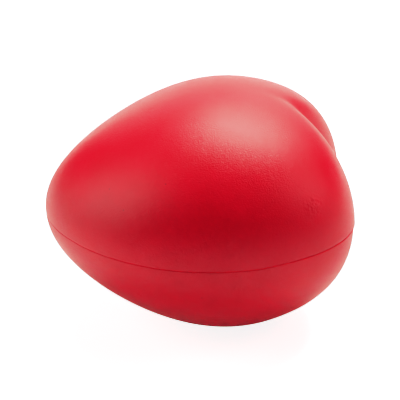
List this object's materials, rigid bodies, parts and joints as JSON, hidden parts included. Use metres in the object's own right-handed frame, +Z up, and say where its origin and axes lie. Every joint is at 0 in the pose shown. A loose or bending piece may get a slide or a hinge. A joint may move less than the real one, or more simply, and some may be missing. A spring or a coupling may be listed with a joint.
{
  "type": "stress ball",
  "caption": "Heart-shaped foam stress ball that lies flat, with a smooth satin skin and a fine parting line round its edge. It squeezes down in the hand and springs back.",
  "frame": {"origin": "on the table, under the middle of the bounding box", "axes": "+X from the heart's tip towards its cleft, +Y across the two lobes, +Z up, square to the parting line"},
  "size_m": [0.072, 0.074, 0.0543],
  "materials": {
    "skin": "satin moulded polyurethane skin, red",
    "parting_line": "matt trimmed flash, darker red",
    "foam": "matt flexible polyurethane foam, paler red"
  },
  "bodies": {
    "lower": {"lower_skin": "skin"},
    "middle": {"foam_core": "foam", "parting_flash": "parting_line"},
    "upper": {"upper_skin": "skin"}
  },
  "joints": [
    {"name": "squeeze_lower", "type": "slide", "parent": "lower", "child": "middle", "axis": [0, 0, 1], "range_m": [-0.0075, 0], "stiffness_N_per_m": 6600, "deforming": ["lower_skin", "foam_core", "parting_flash"]},
    {"name": "squeeze_upper", "type": "slide", "parent": "middle", "child": "upper", "axis": [0, 0, 1], "range_m": [-0.0075, 0], "stiffness_N_per_m": 6600, "deforming": ["upper_skin", "foam_core", "parting_flash"]}
  ],
  "couplings": [
    {"joint": "squeeze_upper", "follows": "squeeze_lower", "ratio": 1}
  ]
}
